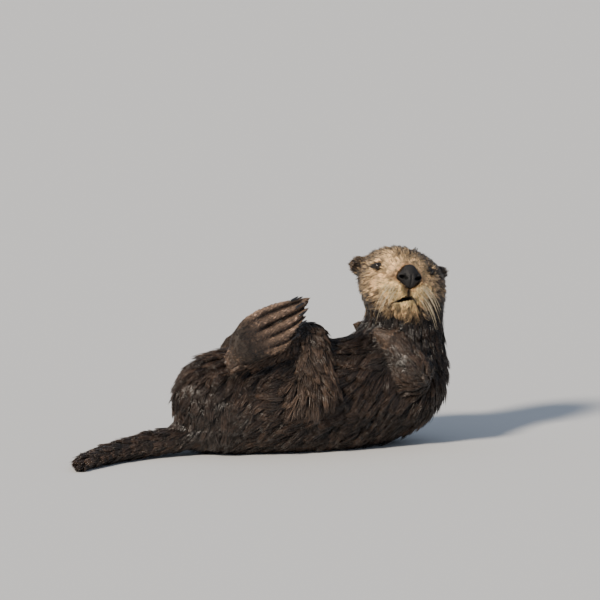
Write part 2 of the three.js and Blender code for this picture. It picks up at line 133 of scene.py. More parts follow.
def remeshed(name, solids, grain):
    """The solids as one closed surface of even faces about grain across."""
    joined = bpy.data.meshes.new(name)
    whole = bmesh.new()
    for solid in solids:
        part = bpy.data.meshes.new("part")
        solid.to_mesh(part)
        whole.from_mesh(part)
        bpy.data.meshes.remove(part)
    whole.to_mesh(joined)
    rough = placed(name + "_rough", joined)
    remesh = rough.modifiers.new("remesh", "REMESH")
    remesh.mode = "VOXEL"
    remesh.voxel_size = grain
    seen = rough.evaluated_get(bpy.context.evaluated_depsgraph_get())
    result = bpy.data.meshes.new_from_object(seen)
    bpy.data.objects.remove(rough)
    result.name = name
    return result


def points_of(mesh):
    """A mesh's vertices as an array of points."""
    flat = np.empty(len(mesh.vertices) * 3, np.float32)
    mesh.vertices.foreach_get("co", flat)
    return flat.reshape(-1, 3).astype(float)


def set_points(mesh, points):
    """Moves a mesh's vertices to these points."""
    mesh.vertices.foreach_set("co", points.astype(np.float32).ravel())
    mesh.update()


def normals_of(mesh):
    """A mesh's vertex normals as an array."""
    flat = np.empty(len(mesh.vertices) * 3, np.float32)
    mesh.vertices.foreach_get("normal", flat)
    return flat.reshape(-1, 3).astype(float)


def evened(mesh, values, rounds, share=0.5):
    """Values at a mesh's vertices, each drawn towards its neighbours' mean, round after round."""
    root_shade = np.empty(len(mesh.edges) * 2, np.int32)
    mesh.edges.foreach_get("vertices", root_shade)
    a, b = root_shade.reshape(-1, 2).T
    n = len(mesh.vertices)
    neighbours = (np.bincount(a, minlength=n) + np.bincount(b, minlength=n)).astype(float)
    columns = values.reshape(n, -1).astype(float).copy()
    for _ in range(rounds):
        for k in range(columns.shape[1]):
            value = columns[:, k]
            total = np.bincount(a, value[b], n) + np.bincount(b, value[a], n)
            columns[:, k] = value + share * (total / neighbours - value)
    return columns.reshape(values.shape)


def smooth_step(low, high, value):
    """0 below low, 1 above high, and a smooth rise between."""
    t = np.clip((value - low) / (high - low), 0, 1)
    return t * t * (3 - 2 * t)


def split_finer(mesh, chosen):
    """Splits the faces whose middle passes the test chosen(points), each into four."""
    work = bmesh.new()
    work.from_mesh(mesh)
    middles = np.array([face.calc_center_median() for face in work.faces])
    picked = [face for face, yes in zip(work.faces, chosen(middles)) if yes]
    edges = list({edge for face in picked for edge in face.edges})
    bmesh.ops.subdivide_edges(work, edges=edges, cuts=1, use_grid_fill=True)
    work.to_mesh(mesh)
    work.free()


def on_face(points):
    """Where the front of the head is."""
    return in_head(points)[:, 0] > FACE_FROM


def by_features(points):
    """Where the eyes, muzzle and mouth are."""
    ahead, aside, above = in_head(points).T
    muzzle = (ahead > FEATURES_FROM) & (np.abs(aside) < 0.034) & (above > -0.058) & (above < 0.016)
    eyes = [np.linalg.norm(points - spot, axis=1) < 0.017 for spot in eye_centres.values()]
    return muzzle | eyes[0] | eyes[1]


def by_forepaws(points):
    """Where the forepaws are."""
    middles = [middle(f"forepaw_{side}") for side in ("left", "right")]
    return np.min([np.linalg.norm(points - spot, axis=1) for spot in middles], axis=0) < 0.034


corners, faces, face_node = [], [], []
for place, node in enumerate(FLESH):
    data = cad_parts[node].data
    start = len(corners)
    corners.extend(v.co.copy() for v in data.vertices)
    faces.extend([start + i for i in p.vertices] for p in data.polygons)
    face_node.extend([place] * len(data.polygons))
flesh_tree = BVHTree.FromPolygons(corners, faces)


def nearest_nodes(points):
    """For each point, the place in FLESH of the solid whose surface is nearest."""
    return np.array([face_node[flesh_tree.find_nearest(p)[2]] for p in points.tolist()])


def by_region(values, nodes):
    """A value for each vertex from a table of regions, by the solid that it is nearest to."""
    return np.array([values[region_of(name)] for name in FLESH])[nodes]


skin_mesh = remeshed("skin", [grown_copy(node) for node in FLESH], SKIN_GRAIN)
split_finer(skin_mesh, on_face)
split_finer(skin_mesh, by_features)
split_finer(skin_mesh, by_forepaws)
skin_nodes = nearest_nodes(points_of(skin_mesh))
softness = evened(skin_mesh, by_region(FOLD_SMOOTHING, skin_nodes), 6)
points = evened(skin_mesh, points_of(skin_mesh), 12, np.clip(softness - 0.2, 0, 0.5))
for _ in range(14):
    points = evened(skin_mesh, points, 1, softness)
    points = evened(skin_mesh, points, 1, -1.04 * softness)
set_points(skin_mesh, points)
depth = evened(skin_mesh, by_region(COAT_DEPTH, skin_nodes), 12)
depth = (depth + RUMP_DEPTH * smooth_step(-0.15, -0.22, points[:, 0]) * (points[:, 2] > 0.05))[:, None]
set_points(skin_mesh, evened(skin_mesh, points - normals_of(skin_mesh) * depth, 4, 0.6 * softness))

# ---- Lids, lips and muzzle ----
# The skin is drawn up round each eyeball as a pair of thick lids, creased down from the nose to the
# mouth, and parted where the lips meet, with the mouth a little open over the lower lip.

EYE_RADIUS = 0.008
GAZE = (0.71, 0.68, 0.17)
LID_OPENING = 0.0050
LID_THICKNESS = 0.0009
LID_REACH = 0.015
LID_LENGTHEN, LID_FLATTEN = 1.25, 0.56
LIP_LINE = [
    (-0.034, -0.050), (-0.026, -0.047), (-0.014, -0.042), (-0.004, -0.036), (0.005, -0.0335),
    (0.013, -0.037), (0.024, -0.045), (0.034, -0.052),
]
PHILTRUM = [(0.001, -0.016), (0.001, -0.026), (0.002, -0.034)]
LIP_CREASE_DEPTH, LIP_CREASE_WIDTH = 0.0060, 0.0024
PHILTRUM_DEPTH, PHILTRUM_WIDTH = 0.0042, 0.0022
MOUTH_MIDDLE, MOUTH_HALF, MOUTH_DEPTH = (-0.002, -0.0395), (0.0140, 0.0046), 0.010
MOUTH_ARCH, MOUTH_SLANT = 0.0030, 0.24
PUFFS = [
    # left of the middle, above the middle, how far out, how wide: whisker pads, chin, brow pads
    (0.020, -0.023, 0.0085, 0.0125), (-0.021, -0.023, 0.0075, 0.0130), (0.003, -0.059, 0.0095, 0.0130),
    (0.024, 0.026, 0.0040, 0.0110), (-0.024, 0.026, 0.0045, 0.0110),
]


def from_line(points, line):
    """How far flat points lie from a line of flat points."""
    line = np.array(line)
    nearest = np.full(len(points), 1.0)
    for start, end in zip(line[:-1], line[1:]):
        along = np.clip((points - start) @ (end - start) / ((end - start) @ (end - start)), 0, 1)
        nearest = np.minimum(nearest, np.linalg.norm(points - start - along[:, None] * (end - start), axis=1))
    return nearest


def eye_offsets(local, side):
    """Where head points lie about an eye: along its gaze, and how far out in the lids' oval."""
    sign = 1 if side == "left" else -1
    gaze = unit(np.array([GAZE[0], sign * GAZE[1], GAZE[2]]))
    lid_line = unit(np.cross(np.array([0.0, 0.0, 1.0]), gaze))
    lid_up = np.cross(gaze, lid_line)
    off = local - in_head(eye_centres[side])
    out = np.hypot(off @ lid_line / LID_LENGTHEN, off @ lid_up / LID_FLATTEN)
    return off @ gaze, out, gaze


def gape(local):
    """How far out head points lie in the mouth's opening, which arches up under the cleft lip."""
    aside = (local[:, 1] - MOUTH_MIDDLE[0]) / MOUTH_HALF[0]
    above = local[:, 2] - MOUTH_MIDDLE[1] + MOUTH_ARCH * (aside**2 - 0.4) - MOUTH_SLANT * local[:, 1]
    ragged = 1 + 0.16 * np.sin(local[:, 1] * 1100) + 0.12 * np.sin(local[:, 1] * 2300 + 1)
    return np.hypot(aside, above / MOUTH_HALF[1] / ragged)


local = in_head(points_of(skin_mesh))
for side in ("left", "right"):
    height, out, gaze = eye_offsets(local, side)
    outer = height > -1.6 * EYE_RADIUS
    lid = np.sqrt(np.maximum((EYE_RADIUS + LID_THICKNESS) ** 2 - np.minimum(out, EYE_RADIUS) ** 2, 1e-8))
    behind = np.sqrt(np.maximum((EYE_RADIUS - 0.002) ** 2 - np.minimum(out, LID_OPENING) ** 2, 1e-8))
    hug = smooth_step(LID_REACH, 0.0066, out) * outer
    target = height + (np.maximum(lid, height) - height) * hug
    target = np.where((out < LID_OPENING) & outer, behind, target)
    local += (target - height)[:, None] * gaze
front = smooth_step(0.030, 0.045, local[:, 0])
seen = local[:, 1:]
crease = LIP_CREASE_DEPTH * np.exp(-((from_line(seen, LIP_LINE) / LIP_CREASE_WIDTH) ** 2))
crease += PHILTRUM_DEPTH * np.exp(-((from_line(seen, PHILTRUM) / PHILTRUM_WIDTH) ** 2))
crease += MOUTH_DEPTH * smooth_step(1.1, 0.7, gape(local))
for aside, above, out, wide in PUFFS:
    crease -= out * np.exp(-((np.hypot(seen[:, 0] - aside, seen[:, 1] - above) / wide) ** 2))
local[:, 0] -= crease * front
set_points(skin_mesh, from_head(local))

# ---- Toes ----
# The hind feet are broad webbed paddles, each with five long toes that stand up as ridges under the
# skin. The outermost toe is the longest, and the web sinks between one toe and the next.

FEET = {
    "left": {"heel": (-0.186, -0.112, 0.188), "toes": (0.87, 0.28, 0.40), "turn_out": 65},
    "right": {"heel": (-0.134, 0.086, 0.158), "toes": (0.78, -0.25, 0.56), "turn_out": 30},
}
FOOT_LENGTH = 0.200
FOOT_HALF_WIDTHS = (0.023, 0.037, 0.043, 0.046, 0.045, 0.038, 0.023)
FOOT_MIDDLES = (0.006, 0.009, 0.010, 0.007, 0.003, 0.001, 0.003)
TOE_ACROSS = (-0.86, -0.46, -0.04, 0.40, 0.84)
TOE_REACH = (0.76, 0.91, 0.97, 0.995, 1.0)
TOE_RISE, TOE_HALF = 0.0052, 0.21
WEB_NOTCH = 0.005
FURROW_ACROSS, FURROW_DEEPER = 0.18, 0.9
TIP_REACH = 0.0035


def foot_axes(side):
    """A foot's axes: from heel to toes, to its outer edge, and out of its back."""
    sign = -1 if side == "left" else 1
    foot = FEET[side]
    toes = unit(np.array(foot["toes"]))
    lift = unit(np.array([0, 0, 1.0]) - toes * toes[2])
    out = -sign * np.cross(lift, toes)
    turn = math.radians(foot["turn_out"])
    back_of = lift * math.cos(turn) - out * math.sin(turn)
    return np.array([toes, -sign * np.cross(back_of, toes), back_of])


def on_foot(points, side):
    """Where points lie on a foot: the share from heel to toes, and across from -1 to 1."""
    local = (points - np.array(FEET[side]["heel"])) @ foot_axes(side).T
    steps = np.linspace(0, 1, len(FOOT_MIDDLES))
    t = np.clip(local[:, 0] / FOOT_LENGTH, 0, 1)
    for _ in range(8):
        s = (local[:, 1] - np.interp(t, steps, FOOT_MIDDLES)) / np.interp(t, steps, FOOT_HALF_WIDTHS)
        reach = np.interp(s, TOE_ACROSS, TOE_REACH)
        t = np.clip(local[:, 0] / FOOT_LENGTH / (1 + (reach - 1) * smooth_step(0.15, 0.9, t)), 0, 1)
    return t, s


def toe_ridge(t, s):
    """1 along the top of each toe and -1 down in the web between two."""
    away = np.abs(s[:, None] - np.array(TOE_ACROSS)).min(axis=1)
    ridges = np.cos(np.clip(away / TOE_HALF, 0, 1) * math.pi)
    return (ridges - FURROW_DEEPER * np.exp(-(((s - FURROW_ACROSS) / 0.09) ** 2))) * smooth_step(0.22, 0.55, t)


toe_tops, toe_ends, painted_paw_light = (np.full(len(skin_mesh.vertices), value) for value in (0.0, 0.0, 1.0))
points = points_of(skin_mesh)
for side in FEET:
    here = np.array([node == f"hindfoot_{side}" for node in FLESH])[skin_nodes]
    t, s = on_foot(points[here], side)
    axes = foot_axes(side)
    facing = normals_of(skin_mesh)[here] @ axes[2]
    ridge = toe_ridge(t, s)
    toe_tops[here] = ridge
    toe_ends[here] = smooth_step(0.86, 0.98, t)
    # Painted light on the foot: painted shade towards the heel, a painted highlight along the lower edge, a painted
    # sunlit patch over the middle of the toes, and darker along the upper edge.
    painted_paw_light[here] = 0.20 + 0.85 * smooth_step(0.16, 0.48, t)
    lower_edge_glint = smooth_step(0.72, 0.92, s) * smooth_step(0.25, 0.40, t) * smooth_step(0.92, 0.8, t)
    painted_paw_light[here] *= 1 + 1.3 * lower_edge_glint
    painted_paw_light[here] *= 1 + 0.35 * smooth_step(0.4, 0.6, t) * smooth_step(0.75, 0.4, np.abs(s))
    painted_paw_light[here] *= 1 - 0.5 * smooth_step(-0.80, -0.95, s)
    sunk = np.minimum(ridge, 0) + 0.25 * np.maximum(ridge, 0)
    rise_by = TOE_RISE * sunk * np.where(facing > 0, facing, 0.5 * facing) * smooth_step(1.05, 0.85, np.abs(s))
    stretched = TIP_REACH * smooth_step(-0.7, 0.2, ridge) - WEB_NOTCH * smooth_step(0.2, -0.9, ridge)
    points[here] += rise_by[:, None] * axes[2] + (stretched * smooth_step(0.84, 1.0, t))[:, None] * axes[0]
set_points(skin_mesh, points)

# ---- Forepaws ----
# A forepaw is a short mitten. Its five toes are bound in one pad, and only shallow clefts part them.

WRIST, PAW_TOES, PAW_OVER = (0.152, 0.070, 0.197), (-0.034, -0.034, 0.024), (0.2, 0.35, 1.0)
TOE_ROOTS, TOE_TIPS = (0.0225, 0.0055), (0.0450, 0.0085)
CLEFT_DEPTH, CLEFT_WIDTH, CLEFT_SHADE = 0.0036, 0.0017, 0.6


def on_paw(points, sign):
    """Where points lie on a forepaw: along from the wrist, and across from its middle."""
    mirror = np.array([1, sign, 1])
    along = unit(np.array(PAW_TOES) * mirror)
    over = np.array(PAW_OVER) * mirror
    over = unit(over - along * (over @ along))
    local = points - np.array(WRIST) * mirror
    return local @ along, local @ np.cross(over, along)


points = points_of(skin_mesh)
for sign, side in ((1, "right"), (-1, "left")):
    here = np.array([node == f"forepaw_{side}" for node in FLESH])[skin_nodes]
    along, across = on_paw(points[here], sign)
    spacing = np.interp(along, [TOE_ROOTS[0], TOE_TIPS[0]], [TOE_ROOTS[1], TOE_TIPS[1]])
    toe_place = across / spacing
    from_cleft = np.abs(toe_place - np.clip(np.floor(toe_place) + 0.5, -1.5, 1.5)) * spacing
    cleft = np.exp(-((from_cleft / CLEFT_WIDTH) ** 2)) * smooth_step(0.016, 0.030, along)
    points[here] -= normals_of(skin_mesh)[here] * (CLEFT_DEPTH * cleft)[:, None]
    # The clefts are darkened too: painted shade in the grooves.
    painted_paw_light[here] = 1 - CLEFT_SHADE * cleft
set_points(skin_mesh, points)

# ---- Markings ----
# An old sea otter is nearly black-brown when wet, with a pale cream face that turns grizzled over the crown and
# cheeks. Part of the pattern is painted shade: the pale face sits off-centre so that its left side turns dark, and the
# mouth and its creases are painted near black. The skin takes these colours and every tuft is cut from the same
# pattern.

BODY_BROWN = (0.027, 0.0170, 0.0120)
THIGH_BROWN = (0.062, 0.041, 0.029)
FOOT_BROWN = (0.185, 0.122, 0.084)
THROAT_BROWN = (0.015, 0.0095, 0.007)
FACE_CREAM = (0.74, 0.52, 0.28)
MUZZLE_CREAM = (0.93, 0.69, 0.33)
CROWN_GREY = (0.105, 0.074, 0.050)
NOSE_EDGE = (0.36, 0.20, 0.095)
EYE_RIM = (0.012, 0.010, 0.010)
# Near black: the dark lip edge, and painted shade in the mouth and its creases.
LIP_AND_MOUTH_SHADE = (0.010, 0.007, 0.006)
waves = np.random.default_rng(5)
WAVE_COUNT = 24
wave_turns = unit(waves.normal(size=(WAVE_COUNT, 3)))
wave_starts = waves.uniform(0, 2 * math.pi, WAVE_COUNT)


def mottle(points, size):
    """A smooth patchwork between about -1 and 1, with patches of this size."""
    waves_at = points @ wave_turns.T * (2 * math.pi / size) + wave_starts
    return np.sin(waves_at).sum(axis=1) / math.sqrt(WAVE_COUNT / 2) / 2


def mixed(one, other, share):
    """Colours one, turning into other by the shares."""
    return one + (np.array(other) - one) * share[:, None]


def markings(points, nodes, scatter=0.0):
    """The coat's colour at each point, with painted shade on the left of the face and in the mouth and its creases.
    Scatter moves a tuft across the edges between two colours.
    """
    local = in_head(points)
    ahead, aside, above = local.T
    # The pale face is centred 10 mm to the otter's right, so its left cheek and brow turn dark sooner: painted shade
    # for the side of the face turned from the sun.
    spread = np.sqrt((aside + 0.010) ** 2 + (above + 0.008) ** 2 + 0.8 * (ahead - 0.060) ** 2)
    spread += 0.005 * mottle(points, 0.02)
    jaw = 0.77 * np.abs(aside) - above + 0.004 * mottle(points, 0.015)
    on_head = by_region(ON_HEAD, nodes)
    pale = smooth_step(0.080, 0.047, spread + 0.026 * scatter) * on_head
    pale *= smooth_step(0.079, 0.066, jaw + 0.006 * scatter)
    grey = smooth_step(0.118, 0.085, spread + 0.03 * scatter) * smooth_step(0.088, 0.074, jaw + 0.01 * scatter)
    colour = np.tile(np.array(BODY_BROWN), (len(points), 1))
    below_knee = 1 - 0.6 * smooth_step(0.175, 0.235, points[:, 2])
    colour = mixed(colour, THIGH_BROWN, by_region(ON_THIGH, nodes) * below_knee)
    colour = mixed(colour, FOOT_BROWN, by_region(ON_FOOT, nodes))
    colour = mixed(colour, THROAT_BROWN, by_region(ON_NECK, nodes))
    colour = mixed(colour, THROAT_BROWN, on_head * smooth_step(0.066, 0.080, jaw))
    colour = mixed(colour, CROWN_GREY, on_head * grey)
    colour = mixed(colour, FACE_CREAM, pale)
    on_muzzle = smooth_step(0.045, 0.060, ahead) * smooth_step(0.0, -0.015, above) * smooth_step(-0.058, -0.044, above)
    colour = mixed(colour, MUZZLE_CREAM, pale * on_muzzle)
    from_pad = np.abs(aside) / 0.027 + np.abs(above - 0.001) / 0.026
    colour = mixed(colour, NOSE_EDGE, 0.7 * smooth_step(1.45, 1.1, from_pad) * (ahead > 0.05))
    # The lip line and the cleft under the nose are darkened: the dark lip edge, with painted shade down in the
    # creases.
    creased = np.minimum(from_line(local[:, 1:], LIP_LINE), from_line(local[:, 1:], PHILTRUM))
    colour = mixed(colour, LIP_AND_MOUTH_SHADE, 0.85 * smooth_step(0.0036, 0.0012, creased) * (ahead > 0.04))
    for side in ("left", "right"):
        height, out, _ = eye_offsets(local, side)
        near = smooth_step(0.0150, 0.0080, out) * (height > -0.01) * (ahead > 0)
        colour = mixed(colour, EYE_RIM, near)
    # The open mouth is painted near black: painted shade inside it.
    return mixed(colour, LIP_AND_MOUTH_SHADE, smooth_step(1.25, 0.9, gape(local)) * (ahead > 0.04))


ON_HEAD = dict.fromkeys(COAT_DEPTH, 0.0) | {"head": 1.0, "ear": 1.0}
ON_FOOT = dict.fromkeys(COAT_DEPTH, 0.0) | {"hindfoot": 1.0, "forepaw": 0.28, "shank": 0.15}
ON_THIGH = dict.fromkeys(COAT_DEPTH, 0.0) | {"thigh": 1.0, "shank": 1.0, "foreleg": 0.12}
ON_NECK = dict.fromkeys(COAT_DEPTH, 0.0) | {"neck": 1.0}

# The webs between the toes are darkened: painted shade in the furrows.
painted_paw_light *= 1 - 0.62 * np.clip(-toe_tops, 0, 1)
skin_tone = markings(points_of(skin_mesh), skin_nodes) * painted_paw_light[:, None]


def store(mesh, name, kind, values):
    """Keeps values on a mesh's vertices for its finish to read."""
    made = mesh.attributes.new(name, kind, "POINT")
    field = "color" if kind == "FLOAT_COLOR" else "value"
    if kind == "FLOAT_COLOR":
        values = np.column_stack([values, np.ones(len(values))])
    made.data.foreach_set(field, values.astype(np.float32).ravel())


store(skin_mesh, "tone", "FLOAT_COLOR", skin_tone)


class Value:
    """A socket of a finish, so that its maths reads as plain sums."""

    def __init__(self, finish, socket):
        self.finish, self.socket = finish, socket

    def maths(self, operation, first, second):
        return self.finish.node("Math", {"operation": operation}, {0: first, 1: second})

    def __add__(self, other):
        return self.maths("ADD", self, other)

    def __radd__(self, other):
        return self.maths("ADD", other, self)

    def __sub__(self, other):
        return self.maths("SUBTRACT", self, other)

    def __rsub__(self, other):
        return self.maths("SUBTRACT", other, self)

    def __mul__(self, other):
        return self.maths("MULTIPLY", self, other)

    def __rmul__(self, other):
        return self.maths("MULTIPLY", other, self)

    def __pow__(self, other):
        return self.maths("POWER", self, other)


class Finish:
    """A material and the nodes that feed its one shader."""

    def __init__(self, name, **constants):
        self.material = bpy.data.materials.new(name)
        self.material.use_nodes = True
        self.tree = self.material.node_tree
        self.shader = self.tree.nodes["Principled BSDF"]
        for socket, value in constants.items():
            self.shader.inputs[socket.replace("_", " ")].default_value = value

    def node(self, kind, settings, inputs, output=0):
        """A node of this kind, its settings made first, then its inputs linked or filled in."""
        made = self.tree.nodes.new("ShaderNode" + kind)
        for name, value in settings.items():
            if name == "stops":
                for stop in range(len(value) - 2):
                    made.color_ramp.elements.new(0.5)
                for element, (place, colour) in zip(made.color_ramp.elements, value):
                    element.position, element.color = place, (*colour, 1)
            else:
                setattr(made, name, value)
        for name, value in inputs.items():
            if isinstance(value, Value):
                self.tree.links.new(value.socket, made.inputs[name])
            else:
                made.inputs[name].default_value = value
        return Value(self, made.outputs[output])

    def attribute(self, name, output="Fac"):
        """What a mesh keeps under this name."""
        return self.node("Attribute", {"attribute_name": name}, {}, output)

    def blend(self, share, one, other, kind="MIX"):
        """Colour one turning into other."""
        return self.node("Mix", {"data_type": "RGBA", "blend_type": kind}, {0: share, 6: one, 7: other}, 2)

    def feed(self, socket, value):
        """Links a value to a socket of the shader."""
        self.tree.links.new(value.socket, self.shader.inputs[socket])

    def bump(self, height, distance, strength=1.0):
        """A relief that many metres deep feeds the shader's normal."""
        self.feed("Normal", self.node("Bump", {}, {"Height": height, "Distance": distance, "Strength": strength}))


hide = Finish("hide", Roughness=0.6, Specular_IOR_Level=0.35)
place_on = hide.node("TexCoord", {}, {}, "Object")
pores = hide.node("TexNoise", {}, {"Vector": place_on, "Scale": 900.0, "Detail": 3.0})
patches = hide.node("TexNoise", {}, {"Vector": place_on, "Scale": 60.0, "Detail": 2.0})
under_tone = hide.blend(0.35, hide.attribute("tone", "Color"), (0.02, 0.014, 0.01, 1))
hide.feed("Base Color", hide.blend(patches * 0.35, under_tone, (0.0, 0.0, 0.0, 1)))
hide.feed("Roughness", 0.5 + pores * 0.3)
hide.bump(pores, 0.0006)

skin = placed("skin", skin_mesh)
skin_mesh.materials.append(hide.material)
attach(skin, "root")
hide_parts(*FLESH)

# ---- Eyes ----
# Each eye is a small ball of dark brown glass, with a clear bulging cornea over an iris that is
# nearly as black as the pupil. The lids hold it all round.

CORNEA_RADIUS, CORNEA_RISE = 0.0045, 0.0009


def eyeball(name, centre, gaze):
    """A ball looking along gaze, its cornea standing a little proud."""
    ball = bmesh.new()
    bmesh.ops.create_uvsphere(ball, u_segments=32, v_segments=24, radius=EYE_RADIUS)
    for vertex in ball.verts:
        off_axis = math.hypot(vertex.co.x, vertex.co.y)
        if vertex.co.z > 0 and off_axis < CORNEA_RADIUS:
            vertex.co.z += CORNEA_RISE * (1 - (off_axis / CORNEA_RADIUS) ** 2)
    mesh = bpy.data.meshes.new(name)
    ball.to_mesh(mesh)
    mesh.transform(Vector(gaze).to_track_quat("Z", "Y").to_matrix().to_4x4())
    shift = Vector(centre)
    for vertex in mesh.vertices:
        vertex.co += shift
    return placed(name, mesh)


eye_glass = Finish("eye_glass", Roughness=0.10, IOR=1.38, Coat_Weight=0.25, Coat_Roughness=0.03)
grain = eye_glass.node("TexNoise", {}, {"Vector": eye_glass.node("TexCoord", {}, {}, "Object"), "Scale": 500.0})
eye_glass.feed("Base Color", eye_glass.blend(grain, (0.006, 0.004, 0.003, 1), (0.018, 0.010, 0.006, 1)))
for side, centre in eye_centres.items():
    gaze = eye_offsets(np.zeros((1, 3)), side)[2]
    eye = eyeball(f"eyeball_{side}", centre, gaze @ HEAD_AXES)
    eye.data.materials.append(eye_glass.material)
    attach(eye, "root")
    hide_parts(f"eye_{side}")

# ---- Nose ----
# The nose pad is bare black leather, a broad diamond set in the muzzle, with comma-shaped nostrils
# cut into its sides and a groove down its middle. It is always wet.

NOSE_GRAIN = 0.0009
NOSTRIL_MIDDLE, NOSTRIL_HALF, NOSTRIL_TILT = (0.0140, -0.0045), (0.0078, 0.0034), math.radians(20)
NOSTRIL_DEPTH = 0.009
NOSE_GROOVE_DEPTH, NOSE_GROOVE_WIDTH = 0.0020, 0.0018

nose_mesh = remeshed("nose_pad", [grown_copy("nose")], NOSE_GRAIN)
nose_points = evened(nose_mesh, points_of(nose_mesh), 6)
nose_local = in_head(nose_points)
nose_middle = in_head(middle("nose"))
aside, above = (nose_local - nose_middle)[:, 1], (nose_local - nose_middle)[:, 2]
hollow = np.zeros(len(nose_points))
for sign in (-1, 1):
    x, y = sign * aside - NOSTRIL_MIDDLE[0], above - NOSTRIL_MIDDLE[1]
    turned_x = x * math.cos(NOSTRIL_TILT) + y * math.sin(NOSTRIL_TILT)
    turned_y = y * math.cos(NOSTRIL_TILT) - x * math.sin(NOSTRIL_TILT)
    hole = np.hypot(turned_x / NOSTRIL_HALF[0], turned_y / NOSTRIL_HALF[1])
    rim = np.exp(-(((hole - 1.5) / 0.4) ** 2))
    nose_local[:, 0] += 0.0008 * rim - NOSTRIL_DEPTH * smooth_step(1.15, 0.75, hole)
    hollow = np.maximum(hollow, smooth_step(1.2, 0.8, hole))
groove = np.exp(-((aside / NOSE_GROOVE_WIDTH) ** 2)) * smooth_step(0.004, -0.004, above)
nose_local[:, 0] -= NOSE_GROOVE_DEPTH * groove
set_points(nose_mesh, from_head(nose_local))
store(nose_mesh, "hollow", "FLOAT", hollow)
nose_pad = placed("nose_pad", nose_mesh)

leather = Finish("nose_leather", Roughness=0.5, Specular_IOR_Level=0.28)
place_on = leather.node("TexCoord", {}, {}, "Object")
pebbles = leather.node("TexVoronoi", {"feature": "SMOOTH_F1"}, {"Vector": place_on, "Scale": 700.0})
clouds = leather.node("TexNoise", {}, {"Vector": place_on, "Scale": 160.0, "Detail": 4.0})
cloudy = leather.blend(clouds, (0.005, 0.005, 0.005, 1), (0.030, 0.027, 0.027, 1))
# The nostrils are painted near black: painted shade down in their hollows.
leather.feed("Base Color", leather.blend(leather.attribute("hollow"), cloudy, (0.001, 0.001, 0.001, 1)))
leather.feed("Roughness", 0.42 + clouds * 0.35)
leather.bump(pebbles, 0.0010, 0.9)
nose_mesh.materials.append(leather.material)
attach(nose_pad, "root")
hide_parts("nose")

# ---- The lie of the coat ----
# Fur grows away from the nose, over the head and down the neck, along the back to the tail and down
# each leg to the toes. Soaked, it also hangs a little with its own weight, most of all on the thighs.

SPINE = [
    (0.196, 0.004, 0.272), (0.184, 0.0, 0.145), (0.070, 0.0, 0.101), (-0.173, 0.0, 0.096),
    (-0.268, -0.003, 0.030), (-0.335, -0.016, 0.021), (-0.400, -0.044, 0.017), (-0.474, -0.110, 0.010),
    (-0.485, -0.127, 0.006),
]
ARM = [(0.194, 0.114, 0.100), (0.152, 0.070, 0.197), (0.118, 0.036, 0.221)]
LEFT_LEG = [(-0.022, -0.076, 0.120), (-0.009, -0.032, 0.203), (-0.186, -0.112, 0.188), (-0.012, -0.056, 0.268)]
RIGHT_LEG = [(-0.022, 0.076, 0.120), (-0.012, 0.068, 0.160), (-0.134, 0.086, 0.158), (0.023, 0.036, 0.271)]
HANG = {
    "head": 0.0, "ear": 0.0, "neck": 0.1, "trunk": 0.55, "tail": 0.15, "foreleg": 0.3,
    "forepaw": 0.0, "thigh": 0.4, "shank": 1.1, "hindfoot": 0.0,
}
RUMP_HANG, RUMP_FROM, RUMP_TO = 1.4, -0.10, -0.20
ELBOW_DRIFT = (-1.3, 0.0, -0.3)
KNEE_TOPS = {"thigh_left": (-0.020, -0.030, 0.262), "thigh_right": (-0.010, 0.074, 0.205)}
NOSE_ROOT = from_head(np.array([0.058, 0.0, 0.002]))


def line_under(node):
    """The line that a solid's fur runs along."""
    if node.startswith(("foreleg", "forepaw")):
        sign = -1 if node.endswith("left") else 1
        return [(x, sign * y, z) for x, y, z in ARM]
    if node.startswith(("thigh", "shank", "hindfoot")):
        return LEFT_LEG if node.endswith("left") else RIGHT_LEG
    return SPINE


def run_of(points, line):
    """The direction of the nearest stretch of a line, for each point."""
    line = np.array(line)
    best, runs = np.full(len(points), np.inf), np.zeros((len(points), 3))
    for start, end in zip(line[:-1], line[1:]):
        run = end - start
        along = np.clip((points - start) @ run / (run @ run), 0, 1)
        away = np.linalg.norm(points - start - along[:, None] * run, axis=1)
        closer = away < best
        best[closer], runs[closer] = away[closer], run / np.linalg.norm(run)
    return runs


def flattened(directions, outs):
    """Directions laid flat on the skin."""
    return unit(directions - (directions * outs).sum(axis=1, keepdims=True) * outs)


skin_points, skin_outs = points_of(skin_mesh), normals_of(skin_mesh)
skin_local = in_head(skin_points)
lie = np.zeros_like(skin_points)
for place, node in enumerate(FLESH):
    here = skin_nodes == place
    lie[here] = run_of(skin_points[here], line_under(node))
from_nose = unit(skin_points - NOSE_ROOT)
on_head = by_region(ON_HEAD, skin_nodes)[:, None]
lie += on_head * (from_nose * 1.4 + lie * (smooth_step(0.02, -0.05, skin_local[:, 0])[:, None] - 1))
for node, top in KNEE_TOPS.items():
    here = skin_nodes == FLESH.index(node)
    lie[here] = unit(skin_points[here] - np.array(top))
for sign, side in ((1, "right"), (-1, "left")):
    here = skin_nodes == FLESH.index(f"foreleg_{side}")
    from_elbow = np.linalg.norm(skin_points[here] - np.array(ARM[0]) * (1, sign, 1), axis=1)
    lie[here] += smooth_step(0.060, 0.015, from_elbow)[:, None] * ELBOW_DRIFT
lie[:, 2] -= by_region(HANG, skin_nodes)
on_rump = np.array([node == "trunk" for node in FLESH])[skin_nodes]
lie[:, 2] -= on_rump * RUMP_HANG * smooth_step(RUMP_FROM, RUMP_TO, skin_points[:, 0])
ears = np.array([node.startswith("ear") for node in FLESH])[skin_nodes]
lie[ears] = unit(skin_points[ears] - HEAD_CENTRE)
lie = flattened(evened(skin_mesh, flattened(lie, skin_outs), 25), skin_outs)

# ---- The coat ----
# Guard hairs clump into flat pointed locks when wet, longest on the trunk and thighs. The face keeps
# short dense fur that is dry and soft, and the feet and paws have only a close cover of fine hair.

